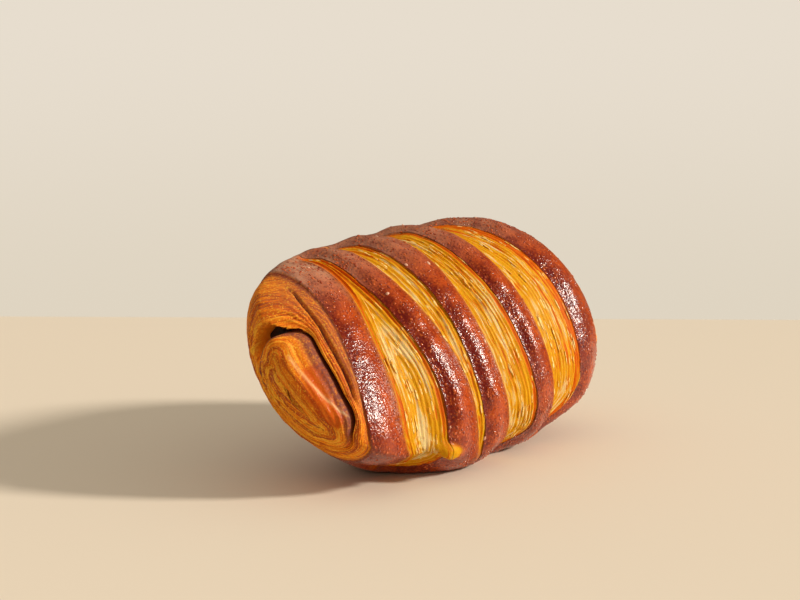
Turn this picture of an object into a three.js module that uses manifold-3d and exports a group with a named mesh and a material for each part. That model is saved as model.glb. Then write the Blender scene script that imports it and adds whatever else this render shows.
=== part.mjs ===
// A chocolate croissant: a sheet of laminated dough rolled round a stick of chocolate, scored four
// times across its top and baked until the crust between the cuts is a deep brown.
// Millimetres, +Z up. X runs along the roll, from the end that shows its spiral (-X) to the far
// end (+X). The roll lies tipped towards the front (-Y), on the slumped edge of its baked base.
import * as THREE from "three";
import { mergeVertices } from "three/addons/utils/BufferGeometryUtils.js";
import Module from "manifold-3d";

// ---- The roll ----
const HALF_LENGTH = 60; // along the roll
const HALF_WIDTH = 36.0; // half of the oval's long axis
const TOP_RISE = 20.7; // from the roll's axis to the crest of the scored side
const BASE_DROP = 29.5; // from the axis to the baked side
const OVAL_POWER = 1.9; // 2 is an ellipse
const TOP_TAPER = [0.36, -0.36]; // the scored side is lower at the ends, most at the spiral end
const BASE_TAPER = [0.03, -0.08];
const END_POWER = { spiral: 2.45, far: 3.1 }; // how square each end is, 2 is round
const END_DRIFT = { spiral: [3.0, 6.2], far: [1.2, 0.9] }; // the ends bend a little up and back
const ROLL_TIP = THREE.MathUtils.degToRad(47.5); // how far the oval is tipped about the roll's axis
const AXIS_RISE = THREE.MathUtils.degToRad(4); // the far end lies a little higher

// ---- How it rests: the flat spot of the base and the slump behind it ----
const AXIS_HEIGHT = 31.5; // the middle of the axis over the rest plane
const REST_ROUNDING = 1.2; // height over which the side curves into the flat spot
const SLUMP = { drop: 7, from: -8, to: 8, above: 16, middle: 2, reach: 34 };

// ---- The four cuts, by their places round the roll: at its upper side, on top and at its foot ----
const STATION = [40, 90, 150]; // degrees round the oval, from the long axis towards the crest
const CUTS = [
  { left: [-32.0, -35.2, -39.0], width: [4.4, 7.6, 14.0], span: [16, 212], depth: 3.1 },
  { left: [-19.9, -17.9, -14.6], width: [6.8, 6.0, 3.8], span: [17, 186], depth: 2.6 },
  { left: [-2.5, -3.6, -1.7], width: [9.4, 11.6, 13.2], span: [14, 181], depth: 3.3 },
  { left: [15.4, 16.7, 18.4], width: [9.8, 17.1, 15.8], span: [14, 169], depth: 3.6 },
];
const OPENING_ARC = 34; // degrees over which a cut widens from its upper end
const CLOSING_ARC = 26; // degrees over which it rounds off at its foot
const LEAST_CUT = 2.2; // a cut that has closed goes on as a faint trace of this width
const SHOULDER = { drop: 1.4, reach: 4.2 }; // the crust rolls down into a cut on its left
const LIP = { drop: 0.5, reach: 1.8, lean: 0.7, height: 1.5 }; // and stands over it on its right
const CUT_FLOOR = 0.24; // where the floor is deepest, as a share of the cut's width
const CUT_LAYERS = 3; // steps of torn layers between the floor and the lip

// ---- The ends: an inner coil, the gap of the spiral round it, and the outer wrap ----
const WRAP_EDGE = [-44.2, 1.1, 0.4, -0.7, 1.2]; // where the crust ends: a mean and two waves
const COIL = { across: -5.5, rise: 2.0, halfWidth: 15.5, halfRise: 8.0 };
const SPIRAL_GAP = { depth: 4.0, faint: 0.4, from: 20, to: 176, fade: 24 };
const WRAP_FISSURE = { place: 0.62, depth: 0.9, from: 38, to: 128, fade: 16 };
const WRAP_STEP = 0.6; // the crust stands over the wrap's torn edge
const LAYER_RIDGE = { height: 0.35, inCoil: 5, inWrap: 5 };
const POCKET = { across: 11.5, rise: 5.8, halfAcross: 4.2, halfRise: 4.2, depth: 7 };

// ---- The stick of chocolate ----
const STICK = { across: 10.8, rise: 4.9, halfAcross: 2.3, halfRise: 2.9, corner: 1.1, showing: 1.6 };
const CLEARANCE = 0.3;

// ---- The mesh ----
const COLUMNS = 60;

const AXIS = new THREE.Vector3(Math.cos(AXIS_RISE), 0, Math.sin(AXIS_RISE));
const UPRIGHT = new THREE.Vector3(-Math.sin(AXIS_RISE), 0, Math.cos(AXIS_RISE));
const BACK = new THREE.Vector3(0, 1, 0);
const LONG = BACK.clone().multiplyScalar(Math.cos(ROLL_TIP)).addScaledVector(UPRIGHT, Math.sin(ROLL_TIP));
const CREST = BACK.clone().multiplyScalar(-Math.sin(ROLL_TIP)).addScaledVector(UPRIGHT, Math.cos(ROLL_TIP));

const clamp = THREE.MathUtils.clamp;
const mix = THREE.MathUtils.lerp;
const ease = (from, to, value) => THREE.MathUtils.smoothstep(value, from, to);
const bell = (value) => Math.exp(-value * value);
const degrees = THREE.MathUtils.radToDeg;

// A smooth unevenness that repeats round the roll, between about -1 and 1.
function waves(x, angle, turn) {
  return (
    0.4 * Math.sin(0.11 * x + 2 * angle + turn) +
    0.35 * Math.sin(0.23 * x - 3 * angle + 2.1 * turn) +
    0.25 * Math.sin(0.37 * x + 5 * angle + 3.7 * turn)
  );
}

// ---- The oval section ----

const endPower = (s) => (s < 0 ? END_POWER.spiral : END_POWER.far);
const taper = (s, [linear, square]) => 1 + linear * s + square * s * s;

function endDrift(s) {
  const [across, rise] = s < 0 ? END_DRIFT.spiral : END_DRIFT.far;
  return { across: across * s * s, rise: rise * s * s };
}

// The half axes of the oval at s, which runs from -1 to 1 along the roll, before the ends close it.
function ovalAt(s, risesUp) {
  return {
    halfWidth: HALF_WIDTH,
    halfRise: risesUp ? TOP_RISE * taper(s, TOP_TAPER) : BASE_DROP * taper(s, BASE_TAPER),
  };
}

function sectionPoint(s, angle) {
  const power = endPower(s);
  const closing = Math.pow(Math.max(0, 1 - Math.pow(Math.abs(s), power)), 1 / power);
  const c = Math.cos(angle);
  const r = Math.sin(angle);
  const { halfWidth, halfRise } = ovalAt(s, r > 0);
  const round = (value) => Math.sign(value) * Math.pow(Math.abs(value), 2 / OVAL_POWER);
  const drift = endDrift(s);
  return {
    across: halfWidth * closing * round(c) + drift.across,
    rise: halfRise * closing * round(r) + drift.rise,
  };
}

// How far along the roll its closed end lies over a point of the section, found by a few rounds.
function endPlace(across, rise, side) {
  let s = 0.9 * side;
  for (let round = 0; round < 8; round++) {
    const drift = endDrift(s);
    const a = across - drift.across;
    const r = rise - drift.rise;
    const { halfWidth, halfRise } = ovalAt(s, r > 0);
    const reach = Math.pow(
      Math.pow(Math.abs(a) / halfWidth, OVAL_POWER) + Math.pow(Math.abs(r) / halfRise, OVAL_POWER),
      1 / OVAL_POWER,
    );
    const power = endPower(side);
    s = side * Math.pow(Math.max(0, 1 - Math.pow(Math.min(reach, 1), power)), 1 / power);
  }
  return s;
}

// ---- The cuts ----

// A value given at the three stations, as a smooth curve round the scored side. Under the roll it
// runs back from the foot to the upper side, so that the line closes.
function roundRoll(values, angle) {
  const [a, b, c] = STATION;
  const curve = (t) =>
    (values[0] * (t - b) * (t - c)) / ((a - b) * (a - c)) +
    (values[1] * (t - a) * (t - c)) / ((b - a) * (b - c)) +
    (values[2] * (t - a) * (t - b)) / ((c - a) * (c - b));
  const start = 10;
  const end = 200;
  const t = ((angle % 360) + 360) % 360;
  if (t >= start && t <= end) return curve(t);
  const under = (t > end ? t - end : t + 360 - end) / (360 - end + start);
  return mix(curve(end), curve(start), ease(0, 1, under));
}

// Where a cut lies at an angle, in degrees, how wide it is and how far it has opened, from 0 to 1.
function cutAt(cut, angle) {
  const [upper, foot] = cut.span;
  const t = ((angle % 360) + 360) % 360;
  const left = roundRoll(cut.left, t);
  if (t <= upper || t >= foot) return { left, width: LEAST_CUT, open: 0 };
  const opening = Math.pow(Math.sin((Math.PI / 2) * clamp((t - upper) / OPENING_ARC, 0, 1)), 1.3);
  const closing = 1 - Math.pow(clamp((t - (foot - CLOSING_ARC)) / CLOSING_ARC, 0, 1), 2.5);
  const torn = Math.max(roundRoll(cut.width, t), 0) * opening * closing;
  return { left, width: Math.max(torn, LEAST_CUT), open: ease(0, 1.8 * LEAST_CUT, torn) };
}

// The layers torn open in a cut rise from its floor to its lip in steps.
function stairs(share, steps) {
  const step = Math.min(Math.floor(share * steps), steps - 1);
  return (step + ease(0.55, 1, share * steps - step)) / steps;
}

// How far the crust lies under the roll's outline at x, and how far its lips lean over the cuts.
function crustRelief(x, angle) {
  let height = 0.45 * waves(x, angle, 0.6);
  let lean = 0;
  const t = degrees(angle);
  for (const cut of CUTS) {
    const { left, width, open } = cutAt(cut, t);
    const right = left + width;
    if (x <= left) height -= open * SHOULDER.drop * bell((left - x) / SHOULDER.reach);
    else if (x >= right) {
      height -= open * LIP.drop * bell((x - right) / LIP.reach);
      lean -= open * LIP.lean * bell((x - right) / (2 * LIP.reach));
    } else {
      const share = (x - left) / width;
      const floor = mix(SHOULDER.drop, cut.depth, ease(0, CUT_FLOOR, share));
      const climb = clamp((share - CUT_FLOOR) / (1 - CUT_FLOOR), 0, 1);
      height -= open * (floor - (cut.depth - LIP.height) * stairs(climb, CUT_LAYERS));
    }
  }
  return { height, lean };
}

// ---- The ends ----

// Along the spiral gap: 1 where it is open, 0 where the coil has grown together with the wrap.
function between(t, { from, to, fade }) {
  const middle = (from + to) / 2;
  const away = Math.abs(((t - middle + 540) % 360) - 180);
  return 1 - ease((to - from) / 2 - fade, (to - from) / 2, away);
}

const ridge = (value) => 0.5 + 0.5 * Math.cos(2 * Math.PI * value);

// Relief of an end. depthInCoil runs from 0 in the coil's heart to 1 at its rim, and depthInWrap
// from 0 there to 1 at the crust's edge.
function endRelief(inCoil, inWrap, angle, side) {
  const t = degrees(angle);
  const open = between(t, SPIRAL_GAP);
  const turn = angle / (2 * Math.PI);
  const gap = mix(SPIRAL_GAP.faint, SPIRAL_GAP.depth, open);
  let height = 0.3 * waves(20 * inCoil + 25 * inWrap, angle, side);
  if (inWrap <= 0) {
    height += LAYER_RIDGE.height * ridge(LAYER_RIDGE.inCoil * inCoil - turn) * ease(0.1, 0.3, inCoil);
    height -= gap * ease(0.9, 1, inCoil);
  } else {
    height += LAYER_RIDGE.height * ridge(LAYER_RIDGE.inWrap * inWrap - turn);
    height -= gap * (1 - ease(0, 0.1, inWrap));
    const fissure = between(t, WRAP_FISSURE) * WRAP_FISSURE.depth;
    height -= fissure * bell((inWrap - WRAP_FISSURE.place) / 0.07);
    height *= 1 - ease(0.9, 1, inWrap);
    height -= WRAP_STEP * ease(0.7, 0.94, inWrap) * (1 - ease(0.95, 1, inWrap));
  }
  return height;
}

// ---- The rings of the mesh, from the spiral end to the far end ----

const wrapEdge = (angle) => {
  const [mean, c1, s1, c2, s2] = WRAP_EDGE;
  return (
    mean + c1 * Math.cos(angle) + s1 * Math.sin(angle) + c2 * Math.cos(2 * angle) + s2 * Math.sin(2 * angle)
  );
};

// One ring on an end: inCoil up to 1, then inWrap up to 1.
function endRing(inCoil, inWrap, side) {
  return (angle) => {
    const coil = {
      across: COIL.across + inCoil * COIL.halfWidth * Math.cos(angle),
      rise: COIL.rise + inCoil * COIL.halfRise * Math.sin(angle),
    };
    const edge = sectionPoint((side * -wrapEdge(angle)) / HALF_LENGTH, angle);
    const across = mix(coil.across, edge.across, inWrap);
    const rise = mix(coil.rise, edge.rise, inWrap);
    const s = endPlace(across, rise, side);
    const height = endRelief(inCoil, inWrap, angle, side);
    return { x: s * HALF_LENGTH, across, rise, height, lean: 0 };
  };
}

// One ring round the roll, a share of the way between two lines.
function bodyRing(fromLine, toLine, share) {
  return (angle) => {
    const x = mix(fromLine(angle), toLine(angle), share);
    return { x, ...sectionPoint(x / HALF_LENGTH, angle), ...crustRelief(x, angle) };
  };
}

const COIL_SHARES = [0.3, 0.6, 0.8, 0.92, 1];
const WRAP_SHARES = [0.09, 0.35, 0.62, 0.8, 0.95];
const CRUST_SHARES = [0, 0.12, 0.5, 0.85];
const STEP_EDGES = Array.from({ length: CUT_LAYERS }, (_, step) => [
  CUT_FLOOR + ((1 - CUT_FLOOR) * (step + 0.5)) / CUT_LAYERS,
  CUT_FLOOR + ((1 - CUT_FLOOR) * (step + 0.98)) / CUT_LAYERS,
]).flat();
const CUT_SHARES = [0, 0.1, CUT_FLOOR, ...STEP_EDGES];

function ringsOfRoll() {
  const rings = [];
  const end = (side) => [
    ...COIL_SHARES.map((share) => endRing(share, 0, side)),
    ...WRAP_SHARES.map((share) => endRing(1, share, side)),
  ];
  rings.push(...end(-1));
  let line = wrapEdge;
  for (const cut of CUTS) {
    const left = (angle) => cutAt(cut, degrees(angle)).left;
    const right = (angle) => left(angle) + cutAt(cut, degrees(angle)).width;
    const from = line;
    rings.push(...CRUST_SHARES.map((share) => bodyRing(from, left, share)));
    rings.push(...CUT_SHARES.map((share) => bodyRing(left, right, share)));
    line = right;
  }
  const farEdge = (angle) => -wrapEdge(angle);
  const last = line;
  rings.push(...CRUST_SHARES.map((share) => bodyRing(last, farEdge, share)));
  rings.push(bodyRing(last, farEdge, 1));
  rings.push(...end(1).reverse());
  return rings;
}

// ---- From the section to the roll as it lies ----

function place(x, across, rise) {
  return new THREE.Vector3(0, 0, AXIS_HEIGHT)
    .addScaledVector(AXIS, x)
    .addScaledVector(LONG, across)
    .addScaledVector(CREST, rise);
}

// The soft underside sags behind the line it rests on, and is pressed flat where it touches.
function settle(point) {
  const low = Math.pow(clamp(1 - point.z / SLUMP.above, 0, 1), 2);
  const behind = ease(SLUMP.from, SLUMP.to, point.y);
  const along = bell((point.x - SLUMP.middle) / SLUMP.reach);
  const z = point.z - SLUMP.drop * low * behind * along;
  if (z < 0) point.z = 0;
  else if (z < REST_ROUNDING) point.z = (z * z) / (2 * REST_ROUNDING);
  else point.z = z - REST_ROUNDING / 2;
  return point;
}

function doughGeometry() {
  const rings = ringsOfRoll();
  const angles = Array.from({ length: COLUMNS }, (_, i) => (2 * Math.PI * i) / COLUMNS);
  const grid = rings.map((ring) => angles.map((angle) => ring(angle)));
  const base = grid.map((ring) => ring.map((p) => place(p.x, p.across, p.rise)));
  const positions = [];
  const heart = (side) => {
    const s = endPlace(COIL.across, COIL.rise, side);
    return place(s * HALF_LENGTH, COIL.across, COIL.rise);
  };
  positions.push(...heart(-1).toArray());
  for (let i = 0; i < rings.length; i++) {
    for (let j = 0; j < COLUMNS; j++) {
      const around = base[i][(j + 1) % COLUMNS].clone().sub(base[i][(j + COLUMNS - 1) % COLUMNS]);
      const before = i === 0 ? heart(-1) : base[i - 1][j];
      const after = i === rings.length - 1 ? heart(1) : base[i + 1][j];
      const normal = around.cross(after.clone().sub(before)).normalize();
      const point = base[i][j]
        .clone()
        .addScaledVector(normal, grid[i][j].height)
        .addScaledVector(AXIS, grid[i][j].lean);
      positions.push(...settle(point).toArray());
    }
  }
  positions.push(...heart(1).toArray());

  const index = [];
  const last = rings.length * COLUMNS + 1;
  const at = (i, j) => 1 + i * COLUMNS + (j % COLUMNS);
  for (let j = 0; j < COLUMNS; j++) {
    index.push(0, at(0, j + 1), at(0, j));
    index.push(last, at(rings.length - 1, j), at(rings.length - 1, j + 1));
  }
  for (let i = 0; i + 1 < rings.length; i++) {
    for (let j = 0; j < COLUMNS; j++) {
      index.push(at(i, j), at(i, j + 1), at(i + 1, j));
      index.push(at(i, j + 1), at(i + 1, j + 1), at(i + 1, j));
    }
  }
  const geometry = new THREE.BufferGeometry();
  geometry.setAttribute("position", new THREE.Float32BufferAttribute(positions, 3));
  geometry.setIndex(index);
  return geometry;
}

// ---- The stick, and the tunnel that it lies in ----

function stickGeometry(grow, from, to) {
  const w = STICK.halfAcross + grow;
  const h = STICK.halfRise + grow;
  const c = STICK.corner + grow;
  const outline = new THREE.Shape();
  outline.absarc(w - c, h - c, c, 0, Math.PI / 2);
  outline.absarc(c - w, h - c, c, Math.PI / 2, Math.PI);
  outline.absarc(c - w, c - h, c, Math.PI, 1.5 * Math.PI);
  outline.absarc(w - c, c - h, c, 1.5 * Math.PI, 2 * Math.PI);
  const geometry = new THREE.ExtrudeGeometry(outline, {
    depth: to - from,
    bevelEnabled: false,
    curveSegments: 4,
  });
  const turned = new THREE.Matrix4().makeBasis(LONG, CREST, AXIS.clone());
  turned.setPosition(place(from, STICK.across, STICK.rise));
  return geometry.applyMatrix4(turned);
}

const wasm = await Module();
wasm.setup();

function solidOf(geometry) {
  const bare = new THREE.BufferGeometry();
  bare.setAttribute("position", geometry.getAttribute("position"));
  if (geometry.index) bare.setIndex(geometry.index);
  const merged = mergeVertices(bare, 1e-4);
  return new wasm.Manifold(
    new wasm.Mesh({
      numProp: 3,
      vertProperties: merged.getAttribute("position").array,
      triVerts: new Uint32Array(merged.index.array),
    }),
  );
}

function geometryOf(solid) {
  const mesh = solid.getMesh();
  const geometry = new THREE.BufferGeometry();
  geometry.setAttribute("position", new THREE.BufferAttribute(mesh.vertProperties, 3));
  geometry.setIndex(new THREE.BufferAttribute(mesh.triVerts, 1));
  return geometry;
}

// ---- The croissant ----

// The hollow of the spiral beside the coil, at the bottom of which the stick shows.
const pocketMouth = (side) => endPlace(POCKET.across, POCKET.rise, side) * HALF_LENGTH;
const pocketFloor = (side) => pocketMouth(side) - side * POCKET.depth;

function pocketGeometry(side) {
  const geometry = new THREE.SphereGeometry(1, 20, 14);
  const size = new THREE.Matrix4().makeScale(POCKET.halfAcross, POCKET.halfRise, POCKET.depth);
  const turned = new THREE.Matrix4().makeBasis(LONG, CREST, AXIS.clone());
  turned.setPosition(place(pocketMouth(side), POCKET.across, POCKET.rise));
  return geometry.applyMatrix4(turned.multiply(size));
}

const tunnel = stickGeometry(CLEARANCE, -HALF_LENGTH - 5, HALF_LENGTH + 5);
const hollows = [tunnel, pocketGeometry(-1), pocketGeometry(1)];
const dough = geometryOf(
  hollows.reduce((solid, hollow) => solid.subtract(solidOf(hollow)), solidOf(doughGeometry())),
);
const stick = stickGeometry(0, pocketFloor(-1) - STICK.showing, pocketFloor(1) + STICK.showing);

// The origin is under the middle of the whole, on the plane it rests on.
dough.computeBoundingBox();
const middle = dough.boundingBox.getCenter(new THREE.Vector3());
const toOrigin = new THREE.Vector3(-middle.x, -middle.y, -dough.boundingBox.min.z);

const crustMaterial = new THREE.MeshStandardMaterial({ color: 0xa8501c, roughness: 0.35, metalness: 0 });
const chocolateMaterial = new THREE.MeshStandardMaterial({ color: 0x24130c, roughness: 0.5, metalness: 0 });

function piece(name, geometry, material) {
  const mesh = new THREE.Mesh(geometry, material);
  mesh.name = name;
  mesh.position.copy(toOrigin);
  return mesh;
}

const croissant = new THREE.Group();
croissant.add(piece("croissant", dough, crustMaterial));
croissant.add(piece("chocolate_baton", stick, chocolateMaterial));

export default croissant;
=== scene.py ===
import math

import bpy
import numpy as np
from mathutils import Matrix, Vector, noise


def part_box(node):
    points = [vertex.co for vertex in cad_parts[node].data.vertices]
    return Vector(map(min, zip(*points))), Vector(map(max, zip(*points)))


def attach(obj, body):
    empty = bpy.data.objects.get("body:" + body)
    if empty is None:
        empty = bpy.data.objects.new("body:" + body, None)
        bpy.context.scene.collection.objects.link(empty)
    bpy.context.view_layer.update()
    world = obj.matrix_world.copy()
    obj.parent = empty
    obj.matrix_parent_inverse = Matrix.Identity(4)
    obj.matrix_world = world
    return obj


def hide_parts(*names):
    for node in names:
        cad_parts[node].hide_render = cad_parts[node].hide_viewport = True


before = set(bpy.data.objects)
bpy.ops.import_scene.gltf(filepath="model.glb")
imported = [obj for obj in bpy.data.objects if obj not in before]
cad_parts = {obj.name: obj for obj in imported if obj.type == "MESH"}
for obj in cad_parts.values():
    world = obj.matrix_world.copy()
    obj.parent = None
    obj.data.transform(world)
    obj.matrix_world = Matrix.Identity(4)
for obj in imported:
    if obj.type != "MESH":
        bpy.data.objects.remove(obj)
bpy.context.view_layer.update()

# ---- The roll of dough ----
# A sheet of laminated dough rolled round a stick of chocolate and baked. It is a barrel with an
# oval section, deeper towards its base, tipped over on the edge of that base. The roll is worked
# out in millimetres along its own axis, then laid down as it rests and set where the croissant
# part of model.glb lies.
MM = 0.001
HALF_LENGTH = 60.0
HALF_WIDTH = 36.0
TOP_RISE = 20.7
BASE_DROP = 29.5
OVAL_POWER = 1.9
TOP_TAPER = (0.36, -0.36)
BASE_TAPER = (0.03, -0.08)
END_POWER = {-1: 2.45, 1: 3.1}
END_DRIFT = {-1: (3.0, 6.2), 1: (1.2, 0.9)}
ROLL_TIP = math.radians(47.5)
AXIS_RISE = math.radians(4)
AXIS_HEIGHT = 31.5
REST_ROUNDING = 1.2
SLUMP = {"drop": 7.0, "from": -8.0, "to": 8.0, "above": 16.0, "middle": 2.0, "reach": 34.0}
FINE_TURNS = (-14.0, 206.0)
FINE_COLUMNS = 204
COARSE_COLUMNS = 52
MEAN_RADIUS = 31.0
WAVES = ((0.4, 0.11, 2, 1.0), (0.35, 0.23, -3, 2.1), (0.25, 0.37, 5, 3.7))

AXIS = np.array((math.cos(AXIS_RISE), 0.0, math.sin(AXIS_RISE)))
UPRIGHT = np.array((-math.sin(AXIS_RISE), 0.0, math.cos(AXIS_RISE)))
BACK = np.array((0.0, 1.0, 0.0))
LONG = BACK * math.cos(ROLL_TIP) + UPRIGHT * math.sin(ROLL_TIP)
CREST = UPRIGHT * math.cos(ROLL_TIP) - BACK * math.sin(ROLL_TIP)
COLUMNS = FINE_COLUMNS + COARSE_COLUMNS
scored_turns = np.linspace(FINE_TURNS[0], FINE_TURNS[1], FINE_COLUMNS, endpoint=False)
under_turns = np.linspace(FINE_TURNS[1], FINE_TURNS[0] + 360, COARSE_COLUMNS, endpoint=False)
TURN = np.concatenate([scored_turns, under_turns]) % 360
SIGNED_TURN = (TURN + 180) % 360 - 180
ANGLES = np.radians(TURN)
GIRTH = ANGLES * MEAN_RADIUS


def ease(start, end, value):
    t = np.clip((value - start) / (end - start), 0, 1)
    return t * t * (3 - 2 * t)


def mix(a, b, share):
    return a + (b - a) * share


def bell(value):
    return np.exp(-np.square(value))


def waves(x, angle, start):
    """The slow unevenness of hand-rolled dough, between -1 and 1."""
    return sum(
        share * np.sin(per_mm * x + per_turn * angle + shift * start)
        for share, per_mm, per_turn, shift in WAVES)


def lumps(points, size, start):
    """Smooth noise between about -1 and 1 at points, with lumps of that size in millimetres."""
    flat = (points / size + start).reshape(-1, 3).tolist()
    return np.array([noise.noise(p) for p in flat]).reshape(points.shape[:-1])


def streaks(across, along, narrow, long, start):
    """Noise drawn out along the layers, between about -1 and 1."""
    across, along = np.broadcast_arrays(across, along)
    drawn = np.stack([across / narrow, along / long, np.full(across.shape, start)], axis=-1)
    return lumps(drawn, 1.0, 0.0)


def between(turn, arc):
    """1 on an arc of the turn and 0 off it, with both of its ends faded."""
    middle, half = (arc["from"] + arc["to"]) / 2, (arc["to"] - arc["from"]) / 2
    away = np.abs((turn - middle + 540) % 360 - 180)
    return 1 - ease(half - arc["fade"], half, away)


def oval_at(s, rises_up):
    """Half the height of the section, above the axis or below it."""
    linear = np.where(rises_up, TOP_TAPER[0], BASE_TAPER[0])
    square = np.where(rises_up, TOP_TAPER[1], BASE_TAPER[1])
    return np.where(rises_up, TOP_RISE, BASE_DROP) * (1 + linear * s + square * s * s)


def drift_at(s):
    """How far the middle of the section has moved off the axis."""
    across = np.where(s < 0, END_DRIFT[-1][0], END_DRIFT[1][0])
    rise = np.where(s < 0, END_DRIFT[-1][1], END_DRIFT[1][1])
    return across * s * s, rise * s * s


def section_point(s, angle):
    """Across and rise of the outline at s, which runs from -1 to 1 along the roll."""
    power = np.where(s < 0, END_POWER[-1], END_POWER[1])
    closing = np.maximum(0, 1 - np.abs(s) ** power) ** (1 / power)
    c, r = np.cos(angle), np.sin(angle)
    drift_across, drift_rise = drift_at(s)
    across = HALF_WIDTH * closing * np.sign(c) * np.abs(c) ** (2 / OVAL_POWER) + drift_across
    rise = oval_at(s, r > 0) * closing * np.sign(r) * np.abs(r) ** (2 / OVAL_POWER) + drift_rise
    return across, rise


def end_place(across, rise, side):
    """How far along the roll its closed end lies over a point of the section."""
    s = np.full(np.broadcast(across, rise).shape, 0.9 * side)
    for _ in range(8):
        drift_across, drift_rise = drift_at(s)
        a, r = across - drift_across, rise - drift_rise
        reach = (np.abs(a) / HALF_WIDTH) ** OVAL_POWER
        reach = reach + (np.abs(r) / oval_at(s, r > 0)) ** OVAL_POWER
        reach = np.minimum(reach ** (1 / OVAL_POWER), 1)
        s = side * np.maximum(0, 1 - reach ** END_POWER[side]) ** (1 / END_POWER[side])
    return s


def place(x, across, rise):
    """A point of the roll, in millimetres, as it lies."""
    x, across, rise = (np.asarray(v, float)[..., None] for v in (x, across, rise))
    return np.array((0, 0, AXIS_HEIGHT)) + x * AXIS + across * LONG + rise * CREST


def settle(points):
    """The soft underside sags behind the line it rests on, and is pressed flat where it touches."""
    low = np.clip(1 - points[..., 2] / SLUMP["above"], 0, 1) ** 2
    behind = ease(SLUMP["from"], SLUMP["to"], points[..., 1])
    along = bell((points[..., 0] - SLUMP["middle"]) / SLUMP["reach"])
    z = points[..., 2] - SLUMP["drop"] * low * behind * along
    pressed = np.where(z < REST_ROUNDING, z * z / (2 * REST_ROUNDING), z - REST_ROUNDING / 2)
    settled = points.copy()
    settled[..., 2] = np.where(z < 0, 0, pressed)
    return settled


# ---- The four cuts ----
# A blade scores the top of the roll four times. In the oven the cuts tear open to golden layers:
# the crust rolls softly down into a cut on its left and stands over it as a thin lip on its right,
# and between them the layers rise in uneven steps. The first cut, with two lips, is a closed fold.
STATIONS = (0, 30, 60, 90, 120, 150, 180)
CUTS = (
    {"left": (-30.5, -30.0, -30.7, -34.1, -36.1, -37.5, -35.8),
     "right": (-26.5, -25.0, -24.6, -23.4, -21.9, -22.8, -22.6),
     "span": (4, 218), "depth": 4.0, "reach": 8.6, "closed": True, "rings": 50},
    {"left": (-18.0, -17.2, -17.2, -15.5, -13.4, -12.8, -11.6),
     "right": (-13.0, -10.2, -8.8, -8.7, -9.1, -8.9, -8.8),
     "span": (3, 190), "depth": 3.6, "reach": 9.0, "closed": False, "rings": 34},
    {"left": (0.5, 0.7, -0.2, -1.6, -1.6, -0.1, 1.0),
     "right": (5.0, 8.6, 10.1, 10.8, 11.6, 13.1, 13.6),
     "span": (2, 203), "depth": 4.2, "reach": 15.0, "closed": False, "rings": 54},
    {"left": (17.6, 18.4, 18.2, 18.7, 19.4, 20.7, 21.2),
     "right": (22.0, 29.0, 35.0, 38.0, 38.3, 38.0, 37.0),
     "span": (2, 193), "depth": 4.5, "reach": 21.0, "closed": False, "rings": 60},
)
OPENING = {"arc": 26, "power": 2.2}
CLOSING = {"arc": 40, "power": 2.5}
BORDER_POINTS = 600
BORDER_SLACK = 1e-6
SLOPE = 2.6
LEAST_CUT = 2.2
FULLY_TORN = 1.8 * LEAST_CUT
WAVES_LEFT_IN_CUT = 0.4
SHOULDER = {"drop": 1.9, "reach": 4.4}
LIP = {"drop": 2.1, "reach": 3.0, "lean": 0.4, "height": 2.3}
UNDERCUT = {"depth": 0.3, "reach": 0.5}
LAYER_PITCH = 1.3
LAYER_RISER = (0.45, 0.95)
LAYER_EDGE = {"at": 0.93, "before_next": 0.07, "half": 0.18}
LAYER_PROUD = np.random.default_rng(7).uniform(0.25, 1.4, 97)
LAYER_RIDGE = 0.24
LAYER_CREASES = 0.24
LAYER_WANDER = {"wide": 0.5, "close": 0.22, "drawn": 0.25}
LEAST_TERRACED = 0.4
FLOOR_CRUMPLED = 0.3
GROOVE_LEVEL = 0.15
PROUD_SPAN = 0.45
CUT_LUMPS = 0.10
CRUST_WAVES = 0.45
CRUST_LUMPS = 0.16
NUB = {"turn": 169, "x": -22.8, "half_width": 3.4, "half_length": 5.0, "near_lip": 0.75}
NUB_LUMPS = 0.12
WRINKLES = {"height": 0.3, "from": 20, "to": 84, "fade": 20, "right": -31.0, "left": -34.0}


def through(p0, p1, p2, p3, t):
    """A smooth curve through knots, from the second of four to the third."""
    square, cube = 2 * p0 - 5 * p1 + 4 * p2 - p3, 3 * p1 - p0 - 3 * p2 + p3
    return (2 * p1 + (p2 - p0) * t + square * t**2 + cube * t**3) / 2


def round_roll(values, turn):
    """A smooth curve through values at the stations, led back evenly under the roll."""
    knots = np.array((values[0], *values, values[-1], values[-1]))
    step = np.clip(turn, 0, STATIONS[-1]) / (STATIONS[1] - STATIONS[0])
    k = np.minimum(step.astype(int), len(values) - 2)
    curve = through(*(knots[k + i] for i in range(4)), step - k)
    return mix(curve, values[0], ease(STATIONS[-1] + 20, 360, turn))


def cut_at(cut, turn):
    """Where a cut starts at each angle, how wide it is and how far it has opened, from 0 to 1."""
    upper, foot = cut["span"]
    opening = 1 - (1 - np.clip((turn - upper) / OPENING["arc"], 0, 1)) ** OPENING["power"]
    past = (turn - (foot - CLOSING["arc"])) / CLOSING["arc"]
    closing = 1 - np.clip(past, 0, 1) ** CLOSING["power"]
    left = round_roll(cut["left"], turn)
    full = np.maximum(round_roll(cut["right"], turn) - left, LEAST_CUT)
    torn = np.where((turn <= upper) | (turn >= foot), 0, full * opening * closing)
    return left, np.maximum(torn, LEAST_CUT), ease(0, FULLY_TORN, torn)


def from_border(x, along, border, turn):
    """Distance in millimetres from each point of the unrolled crust to a cut's border."""
    nearest = np.full(x.shape, np.inf)
    for border_x, border_along in zip(border, turn * math.pi / 180 * MEAN_RADIUS):
        nearest = np.minimum(nearest, (x - border_x) ** 2 + (along - border_along) ** 2)
    return np.sqrt(nearest)


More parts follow.
